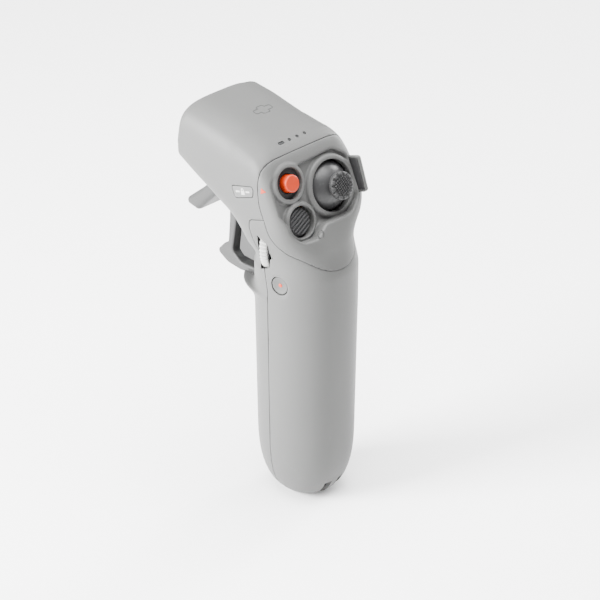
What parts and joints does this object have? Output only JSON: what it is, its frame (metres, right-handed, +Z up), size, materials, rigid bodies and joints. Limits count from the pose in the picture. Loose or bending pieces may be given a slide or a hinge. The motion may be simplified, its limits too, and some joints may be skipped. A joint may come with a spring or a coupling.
{
  "type": "radio transmitter controller",
  "caption": "One-hand pistol-grip motion controller for a small drone, with thumbstick, lock, mode and record keys, side dial and push-pull trigger.",
  "frame": {"origin": "middle of the small flat at the grip's foot, on the grip's own long axis", "axes": "+Z up the grip, +Y forward along the barrel, +X to the pilot's right"},
  "size_m": [0.0475, 0.0792, 0.1616],
  "materials": {
    "shell": "light grey moulded ABS, fine spark-eroded texture",
    "lever": "mid grey moulded plastic, satin",
    "soft_pad": "dark grey soft-touch rubber",
    "label": "pale grey moulded plate",
    "orange": "orange-red moulded plastic",
    "light_guide": "smoked translucent plastic",
    "circuit_board": "green solder mask",
    "tin": "tinned or nickel-plated sheet metal",
    "dark_plastic": "black moulded plastic",
    "dome": "dark grey satin plastic",
    "dial_rim": "near-white ribbed plastic",
    "key": "light grey key cap",
    "steel": "stainless steel wire and pins",
    "cell_wrap": "blue heat-shrink wrap",
    "flat_cable": "amber polyimide film"
  },
  "bodies": {
    "housing": {"front_casing": "shell", "back_casing": "shell", "thumb_panel": "shell", "nose_cap": "shell", "joystick_guard": "shell", "guard_pad": "soft_pad", "lock_label_plate": "label", "lock_pointer": "orange", "status_light_guide": "light_guide", "status_leds": "light_guide", "head_board": "circuit_board", "radio_can": "tin", "antenna_left": "circuit_board", "antenna_right": "circuit_board", "buzzer": "dark_plastic", "lock_collar": "dark_plastic", "lock_switch": "dark_plastic", "mode_switch": "dark_plastic", "button_board": "circuit_board", "joystick_base": "dark_plastic", "joystick_sensor_u": "dark_plastic", "joystick_sensor_v": "dark_plastic", "joystick_board": "circuit_board", "record_switch": "dark_plastic", "record_board": "circuit_board", "power_switch": "dark_plastic", "power_board": "circuit_board", "dial_axle": "steel", "dial_bracket": "dark_plastic", "dial_encoder": "dark_plastic", "trigger_bracket": "lever", "trigger_pin": "steel", "trigger_spring": "steel", "trigger_sensor": "circuit_board", "battery_cell": "cell_wrap", "battery_cradle": "dark_plastic", "battery_contacts": "tin", "main_board": "circuit_board", "ribbon_cable": "flat_cable", "usb_socket": "tin", "usb_board": "circuit_board", "lanyard_lug": "shell"},
    "lock_key": {"lock_button": "orange", "lock_plunger": "dark_plastic"},
    "mode_key": {"mode_button": "dark_plastic", "mode_plunger": "dark_plastic"},
    "record_key": {"record_button": "key", "record_dot": "orange", "record_plunger": "dark_plastic"},
    "power_key": {"power_button": "key", "power_plunger": "dark_plastic"},
    "stick_gimbal": {"joystick_yoke": "dark_plastic"},
    "thumbstick": {"stick_shaft": "steel", "stick_dome": "dome", "stick_cap": "soft_pad"},
    "dial": {"dial_tyre": "dial_rim", "dial_hub": "dark_plastic"},
    "accelerator": {"trigger_lever": "lever", "push_paddle": "lever", "trigger_magnet": "tin"}
  },
  "joints": [
    {"name": "lock_press", "type": "slide", "parent": "housing", "child": "lock_key", "axis": [0, 0.9397, -0.342], "range_m": [0, 0.0012], "stiffness_N_per_m": 400, "springref_m": -0.0006},
    {"name": "mode_press", "type": "slide", "parent": "housing", "child": "mode_key", "axis": [0, 0.9397, -0.342], "range_m": [0, 0.001], "stiffness_N_per_m": 400, "springref_m": -0.0006},
    {"name": "record_press", "type": "slide", "parent": "housing", "child": "record_key", "axis": [0.9835, 0.1811, 0], "range_m": [0, 0.0008], "stiffness_N_per_m": 400, "springref_m": -0.0006},
    {"name": "power_press", "type": "slide", "parent": "housing", "child": "power_key", "axis": [-1, 0, 0], "range_m": [0, 0.0006], "stiffness_N_per_m": 400, "springref_m": -0.0006},
    {"name": "stick_pitch", "type": "hinge", "parent": "housing", "child": "stick_gimbal", "pos_m": [0.0095, 0.00356, 0.13252], "axis": [1, 0, 0], "range_deg": [-18, 18], "stiffness_Nm_per_rad": 0.02},
    {"name": "stick_roll", "type": "hinge", "parent": "stick_gimbal", "child": "thumbstick", "pos_m": [0.0095, 0.00356, 0.13252], "axis": [0, 0.342, 0.9397], "range_deg": [-18, 18], "stiffness_Nm_per_rad": 0.02},
    {"name": "dial_turn", "type": "hinge", "parent": "housing", "child": "dial", "pos_m": [-0.0099, 0.0079, 0.1155], "axis": [0.454, -0.891, 0], "continuous": true},
    {"name": "trigger_pull", "type": "hinge", "parent": "housing", "child": "accelerator", "pos_m": [0, 0.03, 0.136], "axis": [1, 0, 0], "range_deg": [-3.8, 4.2], "stiffness_Nm_per_rad": 0.3}
  ]
}
